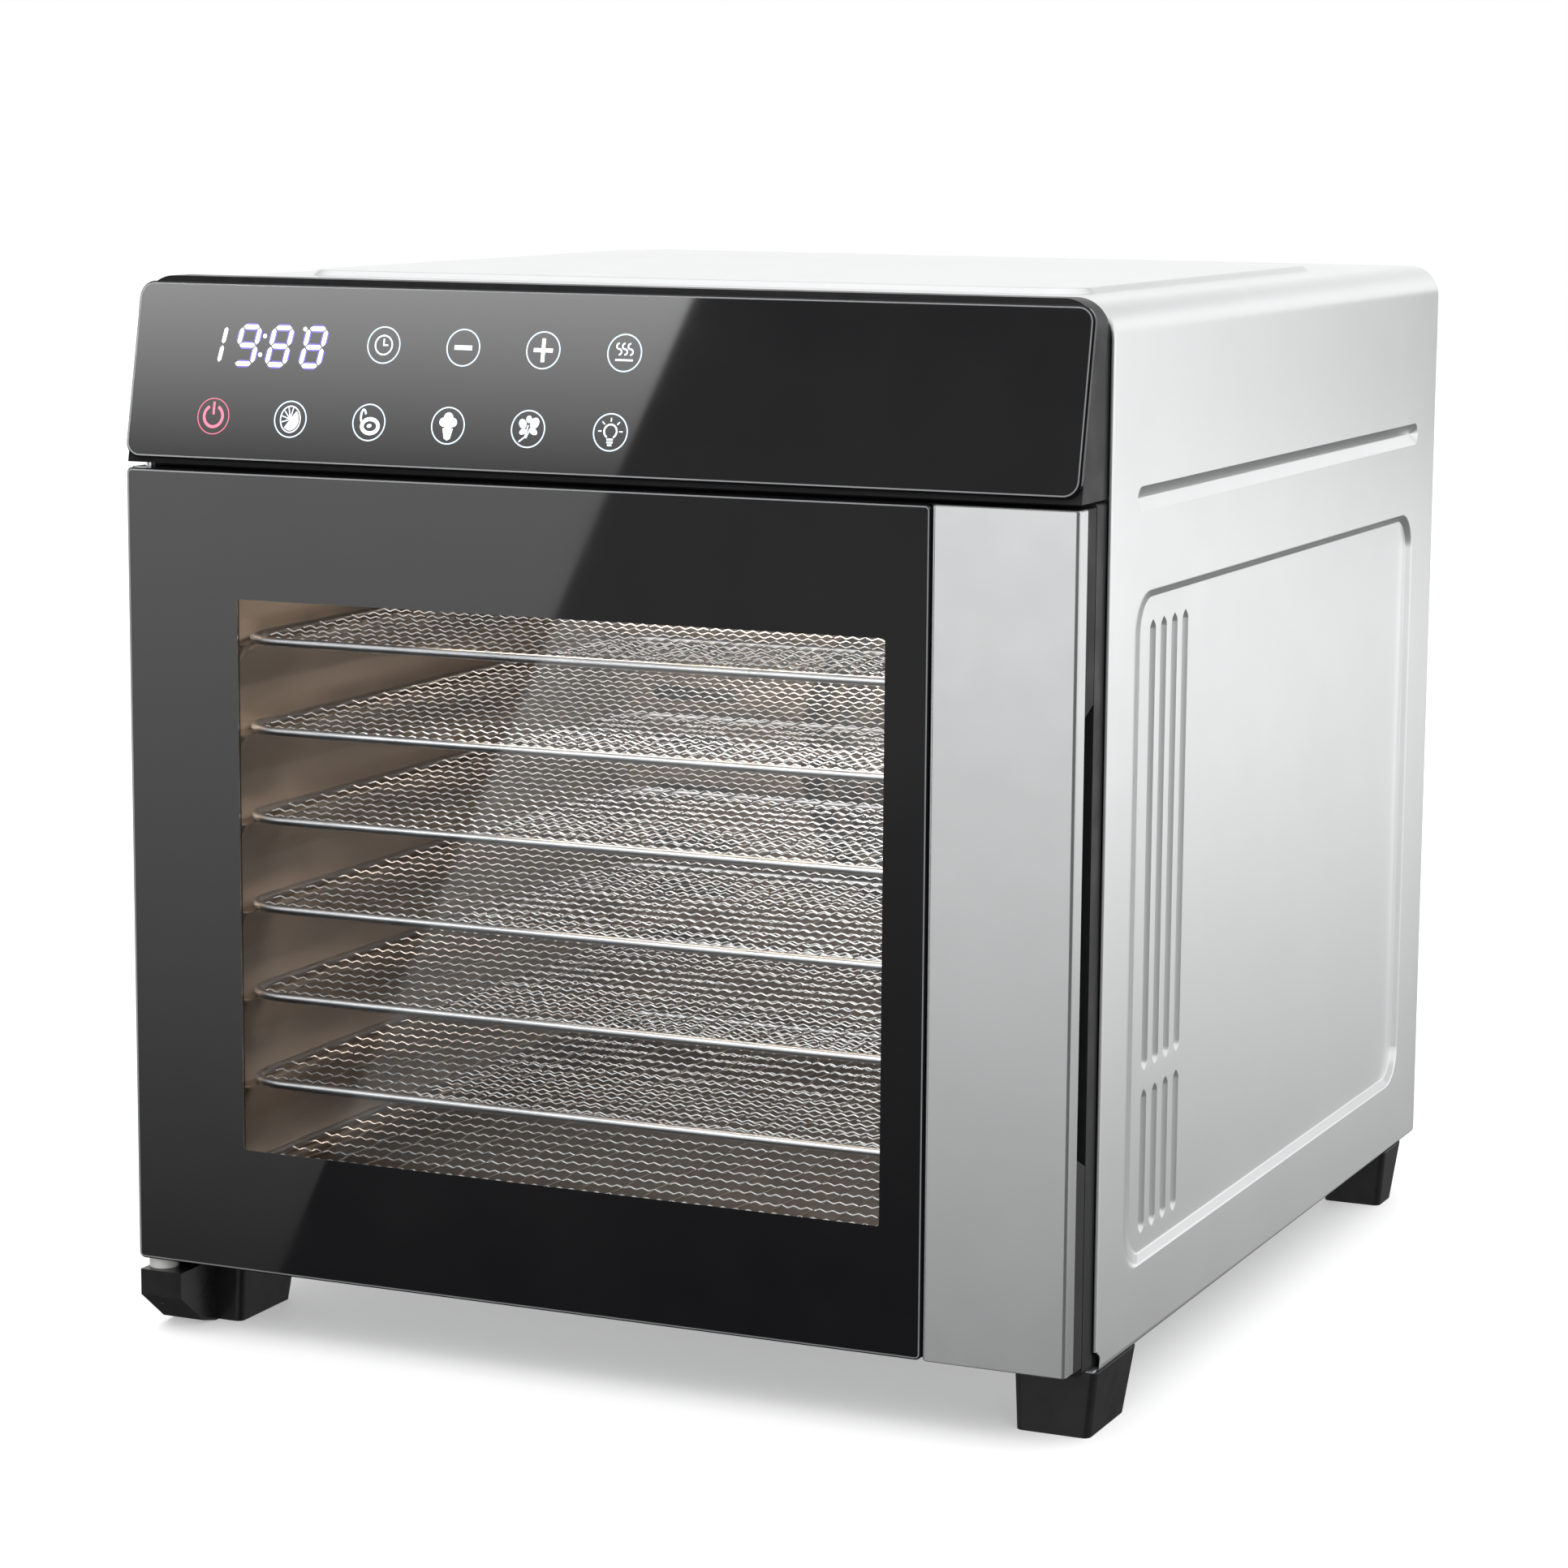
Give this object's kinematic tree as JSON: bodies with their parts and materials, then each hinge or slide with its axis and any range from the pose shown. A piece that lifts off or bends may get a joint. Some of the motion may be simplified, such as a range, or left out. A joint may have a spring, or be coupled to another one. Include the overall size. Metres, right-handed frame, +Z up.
{
  "type": "food dehydrator",
  "caption": "Countertop food dehydrator: steel case, tilted touch panel, side-hinged glass door, sliding wire trays, rear fan and ring heater.",
  "frame": {"origin": "on the floor plane, at the centre of the whole outline's width and depth", "axes": "+Z up, the door faces -Y, +X is to the right of someone facing the door"},
  "size_m": [0.34, 0.389, 0.36],
  "materials": {
    "case_steel": "satin brushed stainless sheet",
    "liner_steel": "bright smooth stainless sheet",
    "zinc_sheet": "galvanised sheet",
    "screw_steel": "plated screws",
    "pin_steel": "polished steel",
    "frame_plastic": "fine textured black ABS",
    "foot_plastic": "semi-gloss black ABS",
    "inlet_plastic": "black",
    "motor_steel": "grey enamel",
    "impeller_alloy": "stamped",
    "heater_tube": "heat-tinted tube",
    "ceramic_white": "ceramic",
    "bulb_glass": "warm lamp, lit",
    "lamp_glass": "frosted",
    "panel_glass": "black glass, back printed",
    "circuit_board": "green solder mask",
    "display_body": "grey",
    "pad_brass": "sprung touch pads",
    "electronics": "moulded components",
    "washer_plastic": "pale nylon",
    "door_glass": "clear toughened glass, black printed border",
    "strip_steel": "fine satin stainless",
    "seal_rubber": "silicone",
    "magnet": "nickel plated",
    "tray_wire": "bright stainless wire"
  },
  "bodies": {
    "case": {"outer_wrap": "case_steel", "liner_left": "liner_steel", "liner_right": "liner_steel", "liner_top": "liner_steel", "liner_floor": "liner_steel", "liner_back": "liner_steel", "tray_rails_left": "liner_steel", "tray_rails_right": "liner_steel", "fan_guard": "liner_steel", "base_pan": "zinc_sheet", "rear_panel": "zinc_sheet", "fan_housing": "zinc_sheet", "heater_posts": "zinc_sheet", "catch_plates": "zinc_sheet", "rear_panel_screws": "screw_steel", "fan_guard_screws": "screw_steel", "foot_screws": "screw_steel", "hinge_pin_lower": "pin_steel", "hinge_pin_upper": "pin_steel", "inlet_pins": "pin_steel", "temperature_sensor": "pin_steel", "front_frame": "frame_plastic", "control_housing": "frame_plastic", "foot_front_left": "foot_plastic", "foot_front_right": "foot_plastic", "foot_rear_left": "foot_plastic", "foot_rear_right": "foot_plastic", "inlet_socket": "inlet_plastic", "fan_motor": "motor_steel", "heater_element": "heater_tube", "thermal_cutout": "ceramic_white", "lamp_holder": "ceramic_white", "lamp_bulb": "bulb_glass", "lamp_cover": "lamp_glass", "control_glass": "panel_glass", "control_board": "circuit_board", "power_board": "circuit_board", "display_module": "display_body", "touch_pads": "pad_brass", "power_board_parts": "electronics", "hinge_washer": "washer_plastic"},
    "door": {"door_frame": "frame_plastic", "door_glass": "door_glass", "door_strip": "strip_steel", "door_gasket": "seal_rubber", "door_magnets": "magnet"},
    "fan": {"motor_shaft": "pin_steel", "fan_impeller": "impeller_alloy", "fan_nut": "screw_steel"},
    "tray_1": {"tray_1": "tray_wire"},
    "tray_2": {"tray_2": "tray_wire"},
    "tray_3": {"tray_3": "tray_wire"},
    "tray_4": {"tray_4": "tray_wire"},
    "tray_5": {"tray_5": "tray_wire"},
    "tray_6": {"tray_6": "tray_wire"},
    "tray_7": {"tray_7": "tray_wire"}
  },
  "joints": [
    {"name": "door_hinge", "type": "hinge", "parent": "case", "child": "door", "pos_m": [-0.163, -0.1865, 0.1612], "axis": [0, 0, -1], "range_deg": [0, 110]},
    {"name": "fan_spin", "type": "hinge", "parent": "case", "child": "fan", "pos_m": [0, 0.1555, 0.1626], "axis": [0, 1, 0], "continuous": true},
    {"name": "tray_1_slide", "type": "slide", "parent": "case", "child": "tray_1", "axis": [0, -1, 0], "range_m": [0, 0.018]},
    {"name": "tray_2_slide", "type": "slide", "parent": "case", "child": "tray_2", "axis": [0, -1, 0], "range_m": [0, 0.018]},
    {"name": "tray_3_slide", "type": "slide", "parent": "case", "child": "tray_3", "axis": [0, -1, 0], "range_m": [0, 0.018]},
    {"name": "tray_4_slide", "type": "slide", "parent": "case", "child": "tray_4", "axis": [0, -1, 0], "range_m": [0, 0.018]},
    {"name": "tray_5_slide", "type": "slide", "parent": "case", "child": "tray_5", "axis": [0, -1, 0], "range_m": [0, 0.018]},
    {"name": "tray_6_slide", "type": "slide", "parent": "case", "child": "tray_6", "axis": [0, -1, 0], "range_m": [0, 0.018]},
    {"name": "tray_7_slide", "type": "slide", "parent": "case", "child": "tray_7", "axis": [0, -1, 0], "range_m": [0, 0.018]}
  ]
}
